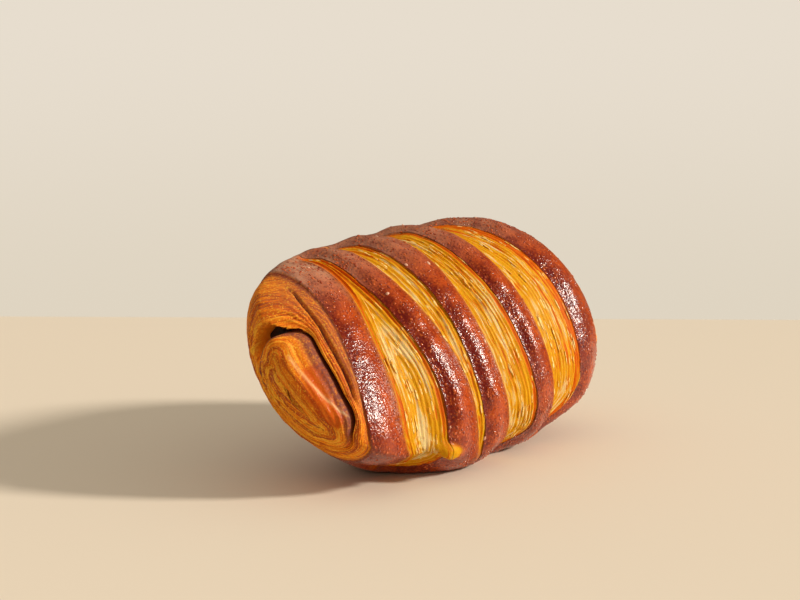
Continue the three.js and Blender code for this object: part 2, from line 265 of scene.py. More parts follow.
def layer_steps(layers):
    """Steps of torn layers, with treads and risers, and how far each edge stands proud."""
    part = layers - np.floor(layers)
    off_edge = np.minimum(np.abs(part - LAYER_EDGE["at"]), part + LAYER_EDGE["before_next"])
    owner = np.floor(layers + LAYER_EDGE["before_next"]).astype(int) % len(LAYER_PROUD)
    edge = LAYER_PROUD[owner] * bell(off_edge / LAYER_EDGE["half"])
    return np.floor(layers) + ease(*LAYER_RISER, part), edge


def standing(share, fine):
    """How far fine relief stands proud: below 0 in a groove, and about 1 on a tall edge."""
    return share * (fine - GROOVE_LEVEL) / PROUD_SPAN


def torn_surface(cut, x, base, number):
    """Depth of a cut under the outline, and the marks of its layers."""
    along = np.broadcast_to(GIRTH, x.shape)
    start = np.array((11.3 * number, 4.7, 2.9))
    drawn = base * np.array((0.9, 0.35, 0.35))
    border_turn = np.linspace(*cut["span"], BORDER_POINTS)
    left, width, _ = cut_at(cut, border_turn)
    to_right = from_border(x, along, left + width, border_turn)
    to_left = from_border(x, along, left, border_turn)
    if cut["closed"]:
        on_right = ease(0.35, 0.65, to_left / (to_left + to_right + 0.01))
        off_lip, smooth_strip = np.minimum(to_left * 1.15, to_right), 0.7 * SLOPE
    else:
        on_right, off_lip, smooth_strip = 1.0, to_right, 1.5 * SLOPE
    reach, count = cut["reach"], cut["reach"] / LAYER_PITCH
    wander = LAYER_WANDER["wide"] * lumps(drawn, 9.0, start)
    wander = wander + LAYER_WANDER["close"] * lumps(drawn, 3.2, start + 7)
    wander = wander + LAYER_WANDER["drawn"] * streaks(off_lip, along, 2.6, 13.0, number * 9.1)
    off_lip = np.maximum(off_lip + wander * bell((off_lip - 0.55 * reach) / (0.45 * reach)), 0)
    near_lip = np.clip(1 - off_lip / reach, 0, 1)
    layers = near_lip * count
    steps, edge = layer_steps(layers)
    edge = edge * (1 + 0.6 * streaks(off_lip, along, 1.7, 9.0, number * 3.7))

    left_rise, right_rise = cut["depth"] - SHOULDER["drop"], cut["depth"] - LIP["height"]
    rise = mix(left_rise, right_rise, on_right) * np.minimum(steps / count, 1)
    rise = np.maximum(rise, left_rise * (1 - ease(0, SLOPE, to_left)))
    torn = ease(-0.2, 0.1, near_lip) * ease(0.1, smooth_strip, to_left)
    terraced = mix(LEAST_TERRACED, 1.0, ease(0.3, 0.65, near_lip))
    creases = LAYER_CREASES * terraced * streaks(off_lip, along, 0.8, 7.0, number * 5.3)
    fine = LAYER_RIDGE * edge * terraced + creases
    fine = fine + (1 - terraced) * FLOOR_CRUMPLED * lumps(drawn, 1.6, start + 11)
    rise = rise + torn * fine
    rise = rise - UNDERCUT["depth"] * bell(to_right / UNDERCUT["reach"])
    rise = rise + CUT_LUMPS * lumps(base, 2.2, start + 3)
    return cut["depth"] - rise, {
        "layers": layers + 20 * number, "near_lip": near_lip,
        "run": off_lip + 40 * number, "proud": standing(torn, fine),
    }


def crust_relief(x, base):
    """Height and lean of the crust and the torn layers, with what marks each place."""
    height = CRUST_WAVES * waves(x, ANGLES, 0.6) + CRUST_LUMPS * lumps(base, 3.0, 5.5)
    lean, crust = np.zeros_like(x), np.ones_like(x)
    marks = {name: np.zeros_like(x) for name in ("layers", "run", "proud")}
    marks["near_lip"] = np.ones_like(x)
    for number, cut in enumerate(CUTS, 1):
        left, width, torn = cut_at(cut, TURN)
        right = left + width
        # A ring that lies on a border is crust, whichever way its last digit falls.
        on_left, on_right = x <= left + BORDER_SLACK, x >= right - BORDER_SLACK
        uneven = 1 + 0.35 * lumps(base, 7.0, 17.0 + number)
        rolled = bell((left - x) / SHOULDER["reach"] / uneven)
        lipped = bell((x - right) / LIP["reach"] / uneven)
        leaning = bell((x - right) / (2 * LIP["reach"]))
        height -= np.where(on_left, torn * SHOULDER["drop"] * rolled, 0)
        height -= np.where(on_right, torn * LIP["drop"] * lipped, 0)
        lean -= np.where(on_right, torn * LIP["lean"] * leaning, 0)
        inside = ~(on_left | on_right)
        rows = inside.any(axis=1)
        depth = np.zeros_like(x)
        depth[rows], found = torn_surface(cut, x[rows], base[rows], number)
        height = np.where(inside, height * mix(1, WAVES_LEFT_IN_CUT, torn) - torn * depth, height)
        for name, values in found.items():
            marks[name][inside] = values[inside[rows]]
        crust = np.where(inside, 1 - torn * ease(-0.2, 0.9, x - left), crust)
        crust = np.where(on_left, crust * (1 - 0.5 * torn * ease(0.5, -0.2, left - x)), crust)
    turned = (TURN - NUB["turn"]) * math.pi / 180 * MEAN_RADIUS
    nub = bell(np.hypot((x - NUB["x"]) / NUB["half_width"], turned / NUB["half_length"]))
    swollen = ease(0.08, 0.85, nub)
    height = mix(height, NUB_LUMPS * lumps(base, 2.4, 9.0), swollen)
    marks["near_lip"] = mix(marks["near_lip"], NUB["near_lip"], swollen)
    crust = crust * (1 - ease(0.15, 0.45, nub))
    marks["crust"] = crust
    wrinkled = between(TURN, WRINKLES) * ease(WRINKLES["right"], WRINKLES["left"], x) * crust
    height = height + WRINKLES["height"] * wrinkled * streaks(x, GIRTH, 1.3, 7.0, 6.6)
    return height, lean, marks


# ---- The two ends ----
# Each end shows how the sheet was rolled: an inner coil, the gap of the spiral round it, and the
# outer wrap, with the edges of the layers as fine rings. Beside the coil is a hollow, and the end
# of the chocolate shows in it. The far end is finished like the near one.
CRUST_EDGE = {-1: 44.2, 1: 49.8}
CRUST_EDGE_BOW = (1.5, 0.6, -1.0, 1.8)
COIL_RIM = ((9.4, 1.5), (10.5, 7.5), (7.6, 10.1), (0.6, 10.3), (-8.2, 9.6), (-16.9, 7.6),
            (-20.6, 2.8), (-17.8, -2.3), (-9.2, -5.7), (-0.3, -7.0), (6.2, -5.4), (8.9, -1.9))
COIL_HEART = ((3.6, 3.5), (-14.4, 2.3))
COIL_MIDDLE = (-5.5, 2.4)
COIL_DOME = 0.5
END_DRAW = {"by": {-1: 1.25, 1: 1.0}, "from": 50, "to": 59}
END_WAVES = 0.3
END_LUMPS = 0.12
COIL_SHOULDER = {"drop": 0.5, "reach": 0.7}
CREVICE = {"depth": 3.6, "faint": 0.3, "from": 32, "to": 190, "fade": 50, "floor": 0.25, "top": 0.7}
CREVICE_LEAN = (0.85, 0.55)
WRAP_LIP = {"height": 0.5, "at": 1.9, "half": 0.9}
WRAP_STEP = 0.35
PURPLE_RIM = {"from": -90, "to": 190, "fade": 30}
GREYED_WRAP = {"share": 0.5, "from": 10, "to": 150, "fade": 40}
GREYED_EDGE = {-1: (0.88, 0.97), 1: (0.75, 0.97)}
RIM_CRUST = {-1: (0.93, 1.0), 1: (0.55, 0.8)}
ROLLED_RIM = {"height": 0.8, "at": -1.9, "half": 1.4, "from": -30, "to": 80, "fade": 30}
FLAP = {"rise": 7.8, "soft": 0.35, "height": 0.5, "from": 1.5, "to": -13.0, "fade": 3.0}
BROWNED = {"start": (-2.0, 9.1), "end": (-15.0, 6.2), "half": 1.9}
# Each end goes from paler to browner over this rise: painted light from the floor below.
PAINTED_FLOOR_LIGHT = (-3, 9)
FISSURE_TURNS = (-100, -20, 38, 44, 53, 65, 78, 88, 99, 108, 119, 135)
FISSURE_PLACES = (0.56, 0.66, 0.78, 0.74, 0.60, 0.50, 0.49, 0.51, 0.54, 0.58, 0.60, 0.56)
FISSURE = {"depth": 1.3, "half": 0.42, "from": 30, "to": 134, "fade": 18}
WRAP_LAYERS = 10.0
WRAP_LAYERS_INSIDE = 0.56
FIRST_END_LAYER = 200.5
ARCHES = {"raised": 0.9, "from": -50, "to": 80, "fade": 30}
HOLLOW_TURNS = (-48, -32, -16, 0, 15, 28, 34, 38, 41, 46, 56)
HOLLOW_MOUTH = (1.2, 3.0, 3.2, 4.0, 4.5, 3.7, 2.1, 1.2, 0.9, 0.8, 0.7)
HOLLOW_DEPTH = (0, 1.2, 3.0, 5.4, 6.9, 7.2, 7.0, 6.0, 4.5, 3.0, 2.0)
HOLLOW_WALL_TURNS = (0, 30, 42)
HOLLOW_WALL = (4.5, 6, 24)
RINGS = {-1: (36, 50), 1: (12, 22)}
TRACK_POINTS = 121
END_RIDGE = 0.30
END_CREASES = 0.24
END_PITCH = 0.85
END_WANDER = {"wide": 0.3, "close": 0.1}


def closed_curve(knots):
    """A smooth closed curve through points at even steps of the turn, read at each column."""
    knots = np.array(knots)
    step = TURN * len(knots) / 360
    k = np.floor(step).astype(int)
    return through(*(knots[(k + i) % len(knots)] for i in (-1, 0, 1, 2)), (step - k)[:, None]).T


def near_line(across, rise, line):
    """The nearest place to each point on a straight line between two points."""
    (a0, r0), (a1, r1) = line
    share = (across - a0) * (a1 - a0) + (rise - r0) * (r1 - r0)
    share = np.clip(share / ((a1 - a0) ** 2 + (r1 - r0) ** 2), 0, 1)
    return mix(a0, a1, share), mix(r0, r1, share)


def crust_edge(side):
    """Where along the roll the crust ends at each column, in a gently bowed line."""
    c1, s1, c2, s2 = CRUST_EDGE_BOW
    bow = c1 * np.cos(ANGLES) + s1 * np.sin(ANGLES)
    bow = bow + c2 * np.cos(2 * ANGLES) + s2 * np.sin(2 * ANGLES)
    return side * (CRUST_EDGE[side] - bow)


def end_rings(side):
    """The rings of one end, from its heart to the crust."""
    rim = closed_curve(COIL_RIM)
    heart = near_line(*rim, COIL_HEART)
    edge = section_point(crust_edge(side) / HALF_LENGTH, ANGLES)
    coil_rings, wrap_rings = RINGS[side]
    coil_shares = 1 - (1 - np.arange(1, coil_rings + 1) / coil_rings) ** 1.25
    fine = np.linspace(0, 1, TRACK_POINTS)[:, None]
    across, rise = mix(rim[0], edge[0], fine), mix(rim[1], edge[1], fine)
    track = place(end_place(across, rise, side) * HALF_LENGTH, across, rise)
    length = np.cumsum(np.linalg.norm(np.diff(track, axis=0, prepend=track[:1]), axis=2), axis=0)
    wrap_shares = (np.arange(1, wrap_rings + 1) / (wrap_rings + 1)) ** 1.4
    wanted = wrap_shares[:, None] * length[-1]
    shares = [np.interp(wanted[:, c], length[:, c], fine[:, 0]) for c in range(COLUMNS)]
    shares = np.stack(shares, axis=1)
    coil = [mix(h, r, coil_shares[:, None]) for h, r in zip(heart, rim)]
    wrap = [mix(r, e, shares) for r, e in zip(rim, edge)]
    across, rise = (np.concatenate(pair) for pair in zip(coil, wrap))
    inward = -np.hypot(coil[0] - rim[0], coil[1] - rim[1])
    return {
        "x": end_place(across, rise, side) * HALF_LENGTH,
        "across": across, "rise": rise, "side": side,
        "from_rim": np.concatenate([inward, wanted]), "length": length[-1],
        "in_coil": np.concatenate([coil_shares, np.ones(wrap_rings)])[:, None],
        "in_wrap": np.concatenate([np.zeros(coil_rings), wrap_shares])[:, None],
    }


def end_relief(end, base):
    """Height and inward press of one end, with what marks each place."""
    across, rise, from_rim, side = (end[k] for k in ("across", "rise", "from_rim", "side"))
    in_coil, in_wrap = end["in_coil"], end["in_wrap"]
    on_coil = in_wrap <= 0
    around = np.hypot(across - COIL_MIDDLE[0], rise - COIL_MIDDLE[1]) * ANGLES
    wander = END_WANDER["wide"] * lumps(base, 8.0, 3.1 * side)
    wander = wander + END_WANDER["close"] * lumps(base, 2.5, 8.2)
    mouth = np.interp(SIGNED_TURN, HOLLOW_TURNS, HOLLOW_MOUTH)
    hollow = np.interp(SIGNED_TURN, HOLLOW_TURNS, HOLLOW_DEPTH, left=0, right=0)
    by_hollow, by_crevice = np.clip(hollow / 3, 0, 1), between(TURN, CREVICE)
    opened = np.maximum(by_crevice, by_hollow)

    line = np.interp(SIGNED_TURN, FISSURE_TURNS, FISSURE_PLACES)
    inner, outer = in_wrap / line, (in_wrap - line) / (1 - line)
    share = np.where(inner < 1, WRAP_LAYERS_INSIDE * inner, mix(WRAP_LAYERS_INSIDE, 1, outer))
    coil_layers, wrap_layers = from_rim / END_PITCH + wander, WRAP_LAYERS * share + 0.6 * wander
    layers = np.where(on_coil, coil_layers, wrap_layers) + FIRST_END_LAYER

    flap = ease(FLAP["rise"] + FLAP["soft"], FLAP["rise"] - FLAP["soft"], rise + 0.3 * wander)
    flap = flap * ease(FLAP["from"] + FLAP["fade"], FLAP["from"], across)
    flap = flap * ease(FLAP["to"] - FLAP["fade"], FLAP["to"], across)
    rolled = bell((from_rim - ROLLED_RIM["at"]) / ROLLED_RIM["half"])
    coil = COIL_DOME * (1 - in_coil ** 2)
    coil = coil + ROLLED_RIM["height"] * between(TURN, ROLLED_RIM) * rolled
    coil = coil - COIL_SHOULDER["drop"] * opened * ease(-COIL_SHOULDER["reach"], 0, from_rim) ** 1.5
    coil = coil + FLAP["height"] * flap * ease(0, -2.5, from_rim)
    fissure = between(TURN, FISSURE) * bell((in_wrap - line) * end["length"] / FISSURE["half"])
    lip = bell((from_rim - WRAP_LIP["at"]) / WRAP_LIP["half"])
    wrap = WRAP_LIP["height"] * by_crevice * lip - FISSURE["depth"] * fissure
    height = END_WAVES * waves(14 * in_coil + 25 * in_wrap, ANGLES, side)
    height = height + END_LUMPS * lumps(base, 2.0, 1.7) + np.where(on_coil, coil, wrap)
    height = height * (1 - ease(0.9, 1, in_wrap))
    height = height - WRAP_STEP * ease(0.7, 0.94, in_wrap) * (1 - ease(0.95, 1, in_wrap))

    wall = np.interp(SIGNED_TURN, HOLLOW_WALL_TURNS, HOLLOW_WALL)
    hollowed = hollow * (1 - np.clip(from_rim / mouth, 0, 1) ** wall) * ~on_coil
    crevice = mix(CREVICE["faint"], CREVICE["depth"], by_crevice)
    cleft = crevice * (1 - ease(CREVICE["floor"], CREVICE["top"], from_rim)) * ~on_coil
    press = np.maximum(hollowed, CREVICE_LEAN[0] * cleft)
    press = press + END_DRAW["by"][side] * ease(END_DRAW["from"], END_DRAW["to"], np.abs(end["x"]))
    height = height - CREVICE_LEAN[1] * cleft * (1 - by_hollow)
    in_hollow = np.clip(hollowed / 2.5, 0, 1)

    _, edges = layer_steps(layers)
    edges = edges * (1 + 0.8 * streaks(from_rim, around, 1.8, 6.0, 4.4 * side))
    arched = 1 + ARCHES["raised"] * between(TURN, ARCHES) * ease(0.6, 0.3, in_wrap)
    arched = arched * (1 - 0.75 * ease(0.35, 0.65, in_wrap))
    ridge = np.where(on_coil, ease(0.1, 0.3, in_coil), (1 - ease(0.88, 0.96, in_wrap)) * arched)
    fine = END_RIDGE * (1 - 0.8 * in_hollow) * edges
    fine = fine + END_CREASES * (1 - in_hollow) * streaks(from_rim, around, 0.7, 7.0, 2.2 * side)
    height = height + ridge * fine

    greyed = GREYED_WRAP["share"] * between(TURN, GREYED_WRAP) * ease(0.25, 0.7, in_wrap)
    purple = ease(-1.5, -0.5, from_rim) * between(TURN, PURPLE_RIM) * on_coil + greyed
    purple = purple + 0.9 * fissure * ~on_coil + 0.8 * ease(*GREYED_EDGE[side], in_wrap)
    streak_across, streak_rise = near_line(across, rise, (BROWNED["start"], BROWNED["end"]))
    off_streak = np.hypot(across - streak_across, rise - streak_rise)
    # Painted shade on the walls where the crevice and the hollow open.
    gap = np.where(on_coil, ease(-0.12, 0, from_rim), 1 - ease(0.25, 0.5, from_rim))
    # A pale line along the flap's edge: partly its thin dough, partly a painted highlight.
    flap_edge = bell((rise + 0.3 * wander - FLAP["rise"] - 0.1) / 0.18)
    return height, press, {
        "layers": layers, "proud": standing(ridge, fine), "run": from_rim + 100 * side,
        "along": around, "purple": np.clip(purple, 0, 1), "hollow": in_hollow,
        "browned": bell(off_streak / BROWNED["half"]) * on_coil,
        "pale": 0.8 * flap_edge * flap ** 0.4 * on_coil, "painted_crevice_shade": gap * opened,
        # The 'baked' mark is painted light: each end paler low down, where the floor lights it,
        # browner on top.
        "baked": ease(*PAINTED_FLOOR_LIGHT, rise), "ends": np.ones_like(in_wrap),
        "crust": ease(*RIM_CRUST[side], in_wrap), "band": np.full_like(in_wrap, side > 0),
    }


# ---- The skin of the pastry ----
# The whole surface is one closed mesh: rings from the near heart over the coil, the wrap, the
# crust and its cuts to the far heart. Attributes carry what each place is, and where light and
# shade are painted, for its colours.
GLAZED = {"from": 62, "to": 156, "fade": 34}
SCORED = {"from": -24, "to": 228, "fade": 24}
# Where the top and back of the crust get a greyish painted sheen.
PAINTED_SHEEN_ARC = {"top": (78, 30), "back": (-85, -55), "near_end": (-18, -30), "least": 0.7}
CRUST_SHARES = (0, 0.02, 0.05, 0.10, 0.17, 0.26, 0.36, 0.46, 0.56, 0.66, 0.75, 0.84, 0.92, 0.97)
PLAIN_BAND = 0.5
MARKS = ("crust", "band", "near_lip", "ends", "layers", "purple", "browned", "pale", "hollow",
         "painted_crevice_shade", "baked", "painted_sheen", "glazed", "proud")

lines = [crust_edge(-1)]
for cut in CUTS:
    left, width, _ = cut_at(cut, TURN)
    lines += [left, left + width]
lines.append(crust_edge(1))
body_x, band_rows = [], []
for number, (start, stop) in enumerate(zip(lines, lines[1:])):
    if number % 2:
        count = CUTS[number // 2]["rings"]
        shares = [i / count for i in range(count)]
        band_rows += [1 - share for share in shares]
    else:
        shares = CRUST_SHARES
        band_rows += shares
    body_x += [mix(start, stop, share) for share in shares]
body_x = np.array(body_x + [lines[-1]])
band_rows = np.array(band_rows + [1.0])[:, None]

near_end, far_end = end_rings(-1), end_rings(1)
near_base, far_base = (place(end["x"], end["across"], end["rise"]) for end in (near_end, far_end))
body_base = place(body_x, *section_point(body_x / HALF_LENGTH, ANGLES))
base = np.concatenate([near_base, body_base, far_base[::-1]])
hearts = [place(end_place(*COIL_MIDDLE, side) * HALF_LENGTH, *COIL_MIDDLE) for side in (-1, 1)]

before = np.concatenate([np.broadcast_to(hearts[0], base[:1].shape), base[:-1]])
after = np.concatenate([base[1:], np.broadcast_to(hearts[1], base[:1].shape)])
around = np.roll(base, -1, axis=1) - np.roll(base, 1, axis=1)
normals = np.cross(around, after - before)
normals /= np.linalg.norm(normals, axis=2, keepdims=True)

near_rows = slice(0, len(near_base))
body_rows = slice(near_rows.stop, near_rows.stop + len(body_base))
far_rows = slice(body_rows.stop, len(base))
height, lean, press = (np.zeros(base.shape[:2]) for _ in range(3))
marks = {name: np.zeros(base.shape[:2]) for name in MARKS + ("run", "along")}
height[body_rows], lean[body_rows], found = crust_relief(body_x, body_base)
# A greyish painted sheen on the top and back of the crust, strongest towards the near end.
painted_sheen_share = ease(*PAINTED_SHEEN_ARC["top"], SIGNED_TURN) * ease(*PAINTED_SHEEN_ARC["back"], SIGNED_TURN)
found.update({
    "along": GIRTH, "glazed": between(TURN, GLAZED),
    "band": mix(PLAIN_BAND, band_rows, between(TURN, SCORED)),
    "painted_sheen": painted_sheen_share * mix(PAINTED_SHEEN_ARC["least"], 1.0, ease(*PAINTED_SHEEN_ARC["near_end"], body_x)),
})
for name, values in found.items():
    marks[name][body_rows] = values
for end, rows, way in ((near_end, near_rows, 1), (far_end, far_rows, -1)):
    end_height, end_press, found = end_relief(end, base[rows][::way])
    height[rows] = end_height[::way]
    press[rows] = -end["side"] * end_press[::way]
    for name, values in found.items():
        marks[name][rows] = values[::way]
points = settle(base + height[..., None] * normals + (lean + press)[..., None] * AXIS)
hearts = [settle(heart + way * COIL_DOME * AXIS) for way, heart in zip((-1, 1), hearts)]

vertices = np.concatenate([[hearts[0]], points.reshape(-1, 3), [hearts[1]]])
low, high = vertices.min(axis=0), vertices.max(axis=0)
cad_low, cad_high = (np.array(corner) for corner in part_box("croissant"))
offset = (cad_low + cad_high) / 2 - (low + high) / 2 * MM
offset[2] = cad_low[2] - low[2] * MM
vertices = vertices * MM + offset


def ring_faces(rings, columns, first=0):
    """The numbers of the points in closed rings, and the faces between them."""
    at = first + np.arange(rings)[:, None] * columns + np.arange(columns)[None]
    turned = np.roll(at, -1, axis=1)
    return at, np.stack([at[:-1], turned[:-1], turned[1:], at[1:]], axis=2).reshape(-1, 4).tolist()


def new_piece(name, vertices, faces):
    """A mesh and its object, added to the scene."""
    mesh = bpy.data.meshes.new(name)
    mesh.from_pydata(vertices, [], faces)
    piece = bpy.data.objects.new(name, mesh)
    bpy.context.collection.objects.link(piece)
    return piece


at, quads = ring_faces(len(base), COLUMNS, first=1)
last = len(vertices) - 1
near_fan = [(0, b, a) for a, b in zip(at[0].tolist(), np.roll(at[0], -1).tolist())]
far_fan = [(last, a, b) for a, b in zip(at[-1].tolist(), np.roll(at[-1], -1).tolist())]
dough = new_piece("croissant_dough", vertices.tolist(), quads + near_fan + far_fan)
dough.data.shade_smooth()


def keep(name, values, at_hearts=0.0):
    """Keeps a number or a vector for each point of the dough, the hearts first and last."""
    kind, part, count = ("FLOAT_VECTOR", "vector", 3) if values.ndim == 3 else ("FLOAT", "value", 1)
    heart = [at_hearts] * count
    layer = dough.data.attributes.new(name, kind, "POINT")
    layer.data.foreach_set(part, np.concatenate([heart, values.ravel(), heart]))


for name in MARKS:
    keep(name, marks[name], 1.0 if name == "ends" else 0.0)
keep("grain", np.stack([marks["run"], marks["along"], np.zeros(base.shape[:2])], axis=-1))
keep("flow", around / np.linalg.norm(around, axis=2, keepdims=True))


# ---- The colours of the baked dough ----
# Egg-washed crust is a glossy, blotched mahogany. Each band is dark red on its left, partly painted
# shade on the flank that turns from the light, and pink on its right border, a painted sheen; the
# top of the roll carries a greyish painted sheen. The torn layers are cream on the floor of a cut
# and go to gold and orange towards its lip, partly browning and partly painted shade, with painted
# shade in their grooves. The ends are an unwashed orange brown, with purplish edges where thin
# dough caught the heat. Painted shade darkens the crevice round each coil, and painted light from
# the floor leaves each end paler low down than at its top.
# Dark red of each band's left, partly the crust and partly painted shade.
CRUST_RED_SHADE = (104, 12, 2)
CRUST_BROWN = (146, 48, 6)
CRUST_WARM = (176, 66, 6)
CRUST_DARK = (74, 18, 6)
# Pink of a painted sheen on each band's right border.
CRUST_PINK_SHEEN = (150, 76, 38)
CRUST_AMBER = (206, 104, 34)
# The greyish pink of a painted sheen on the top of the crust.
CRUST_PAINTED_SHEEN = (178, 138, 112)
TORN_CREAM = (218, 192, 132)
TORN_GOLD = (208, 148, 16)
TORN_ORANGE = (200, 94, 4)
LINE_BROWN = (176, 66, 0)
END_GOLD = (246, 184, 56)
END_ORANGE = (240, 140, 24)
END_BROWN = (196, 90, 22)
END_FLAP = (190, 74, 8)
# Pale of the flap's edge, partly a painted highlight.
END_PALE = (250, 222, 164)
END_VEIN = (150, 66, 26)
EDGE_PURPLE = (120, 66, 56)
HOLLOW_ORANGE = (250, 134, 30)
# Painted shade for the crevice walls round the coil.
CREVICE_PAINTED_SHADE = (84, 36, 18)
CRUST_ROUGHNESS = 0.35
TORN_ROUGHNESS = 0.5
DOUGH_SPECULAR = 0.06
COAT_ROUGHNESS = 0.2
LIGHT_IN_DOUGH = {"radius": (1.0, 0.4, 0.12), "scale": 1.2 * MM, "torn": 0.4, "ends": 0.3}
BUMP_HEIGHT = 0.21 * MM


def paint(colour):
    """A colour given from 0 to 255 as it looks on a screen, as the light that it reflects."""
    linear = [v / 255 / 12.92 if v <= 10 else ((v / 255 + 0.055) / 1.055) ** 2.4 for v in colour]
    return (*linear, 1.0)


class Nodes:
    """Adds nodes to one tree, each with its inputs set or linked."""

    def __init__(self, tree):
        self.tree = tree

    def add(self, kind, settings=(), **inputs):
        node = self.tree.nodes.new(kind)
        for name, value in dict(settings).items():
            setattr(node, name, value)
        for name, value in inputs.items():
            self.set(node, name, value)
        return node

    def set(self, node, name, value):
        """Sets or links an input, given by its name, or by its number after an underscore."""
        key = int(name[1:]) if name[0] == "_" else name.replace("_", " ")
        socket = node.inputs[key]
        if isinstance(value, bpy.types.NodeSocket):
            self.tree.links.new(value, socket)
        else:
            socket.default_value = value

    def math(self, operation, a, b=0.0):
        return self.add("ShaderNodeMath", {"operation": operation}, _0=a, _1=b).outputs[0]

    def total(self, value, *others):
        """A value with others added, each with its weight."""
        for other, weight in others:
            value = self.math("ADD", value, self.math("MULTIPLY", other, weight))
        return value

    def product(self, value, *others):
        for other in others:
            value = self.math("MULTIPLY", value, other)
        return value

    def ramp(self, value, start, end, low=0.0, high=1.0):
        """Goes smoothly from low to high while the value goes from start to end."""
        return self.add(
            "ShaderNodeMapRange", {"interpolation_type": "SMOOTHSTEP"}, Value=value,
            From_Min=start, From_Max=end, To_Min=low, To_Max=high).outputs[0]

    def coats(self, colour, *others):
        """A colour with others laid over it, each by its share."""
        for share, other in others:
            a, b = (c if isinstance(c, bpy.types.NodeSocket) else paint(c) for c in (colour, other))
            node = self.add("ShaderNodeMix", {"data_type": "RGBA"}, _0=share, _6=a, _7=b)
            colour = node.outputs[2]
        return colour


class Shades(Nodes):
    """The nodes of one material."""

    def __init__(self, name):
        self.material = bpy.data.materials.new(name)
        self.material.use_nodes = True
        super().__init__(self.material.node_tree)

    def attribute(self, name, output="Fac"):
        return self.add("ShaderNodeAttribute", {"attribute_name": name}).outputs[output]

    def noise(self, size, detail):
        """Noise with lumps of a size in millimetres."""
        where = self.add("ShaderNodeTexCoord").outputs["Object"]
        texture = self.add("ShaderNodeTexNoise", Vector=where, Scale=1 / (size * MM), Detail=detail)
        return texture.outputs["Fac"]

    def drawn_noise(self, across, along, detail):
        """Noise that runs with the layers: lumps for each millimetre across them and along them."""
        run = self.attribute("grain", "Vector")
        mapped = self.add("ShaderNodeMapping", Vector=run, Scale=(across, along, 1)).outputs[0]
        texture = self.add("ShaderNodeTexNoise", Vector=mapped, Scale=1.0, Detail=detail)
        return texture.outputs["Fac"]

    def finish(self, **inputs):
        """Sets what the surface is like, and gives the material."""
        for name, value in inputs.items():
            self.set(self.tree.nodes["Principled BSDF"], name, value)
        return self.material


